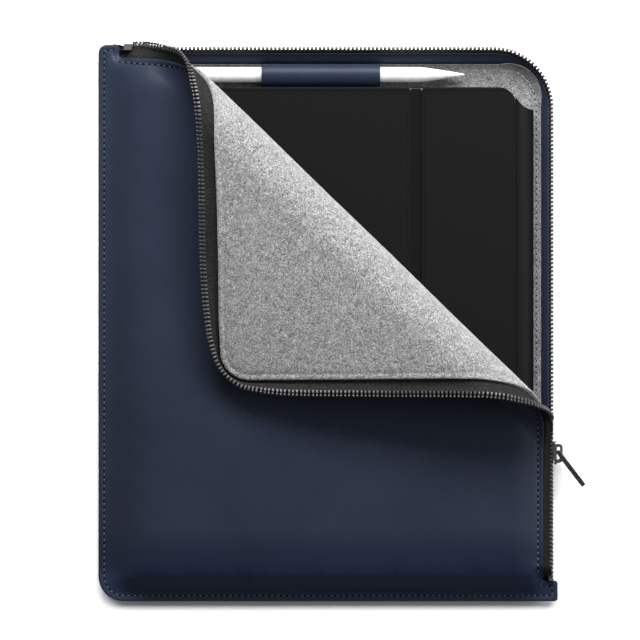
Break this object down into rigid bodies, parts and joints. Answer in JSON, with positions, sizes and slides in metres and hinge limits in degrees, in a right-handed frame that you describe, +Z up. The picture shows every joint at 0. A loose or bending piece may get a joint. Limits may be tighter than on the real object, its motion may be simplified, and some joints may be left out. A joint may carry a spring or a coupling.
{
  "type": "zip-around tablet folio with keyboard case",
  "caption": "Leather zip folio lined with felt, its free corner folded back, carrying a shut tablet keyboard case and a stylus in a loop.",
  "frame": {"origin": "middle of the back panel's flat outer face, on the surface it lies on", "axes": "+Z up out of the back panel, +X towards the zip side, +Y towards the end with the stylus"},
  "size_m": [0.2821, 0.3234, 0.0606],
  "materials": {
    "leather": "semi-gloss fine-grain navy",
    "felt": "grey melange wool felt",
    "zip_tape": "woven black tape",
    "zip_metal": "dark nickel",
    "thread": "navy waxed thread",
    "case_cloth": "matt black coated cloth",
    "hinge_metal": "anodised dark grey",
    "case_plastic": "matt black",
    "trackpad": "satin",
    "tablet_metal": "anodised grey",
    "display": "black glass",
    "stylus_white": "satin white"
  },
  "bodies": {
    "folio": {"back_cover_leather": "leather", "back_lining_felt": "felt", "zipper_tape_rear": "zip_tape", "zipper_teeth_rear": "zip_metal", "zipper_teeth_front": "zip_metal", "zipper_start_stop": "zip_metal", "zipper_end_stop": "zip_metal", "front_cover_leather": "leather", "front_lining_felt": "felt", "zipper_tape_front": "zip_tape", "seam_stitching": "thread", "pencil_loop": "leather", "case_back_panel_wide": "case_cloth", "case_back_panel_narrow": "case_cloth", "case_back_crease": "case_cloth", "case_spine_cover": "case_cloth", "case_hinge_barrel": "hinge_metal", "case_hinge_pin": "hinge_metal", "keyboard_base_shell": "case_plastic", "keyboard_keycaps": "case_plastic", "keyboard_trackpad": "trackpad", "tablet_housing": "tablet_metal", "tablet_display_glass": "display"},
    "fold_strip_lower": {"fold_band_lower_leather": "leather", "fold_band_lower_felt": "felt"},
    "fold_strip_upper": {"fold_band_upper_leather": "leather", "fold_band_upper_felt": "felt"},
    "flap": {"flap_leather": "leather", "flap_lining_felt": "felt", "zipper_tape_flap": "zip_tape", "zipper_teeth_flap": "zip_metal"},
    "slider": {"slider_body": "zip_metal", "slider_bridge": "zip_metal"},
    "pull": {"zip_pull": "zip_metal"},
    "stylus": {"stylus_barrel": "stylus_white", "stylus_tip": "stylus_white"}
  },
  "joints": [
    {"name": "flap_fold_1", "type": "hinge", "parent": "folio", "child": "fold_strip_lower", "pos_m": [0.0316, 0.03261, 0.0255], "axis": [-0.7181, 0.6959, 0], "range_deg": [0, 65.5]},
    {"name": "flap_fold_2", "type": "hinge", "parent": "fold_strip_lower", "child": "fold_strip_upper", "pos_m": [0.03737, 0.03856, 0.0437], "axis": [-0.7181, 0.6959, 0], "range_deg": [0, 65.5]},
    {"name": "flap_fold_3", "type": "hinge", "parent": "fold_strip_upper", "child": "flap", "pos_m": [0.02824, 0.02914, 0.0588], "axis": [-0.7181, 0.6959, 0], "range_deg": [0, 65.5]},
    {"name": "zip_slide", "type": "slide", "parent": "folio", "child": "slider", "axis": [0, 1, 0], "range_m": [-0.06, 0.19]},
    {"name": "pull_swing", "type": "hinge", "parent": "slider", "child": "pull", "pos_m": [0.1354, -0.075, 0.0135], "axis": [0, 0, 1], "range_deg": [-35, 138]},
    {"name": "stylus_slide", "type": "slide", "parent": "folio", "child": "stylus", "axis": [1, 0, 0], "range_m": [0, 0.03]}
  ],
  "couplings": [
    {"joint": "flap_fold_2", "follows": "flap_fold_1", "ratio": 1},
    {"joint": "flap_fold_3", "follows": "flap_fold_1", "ratio": 1}
  ]
}
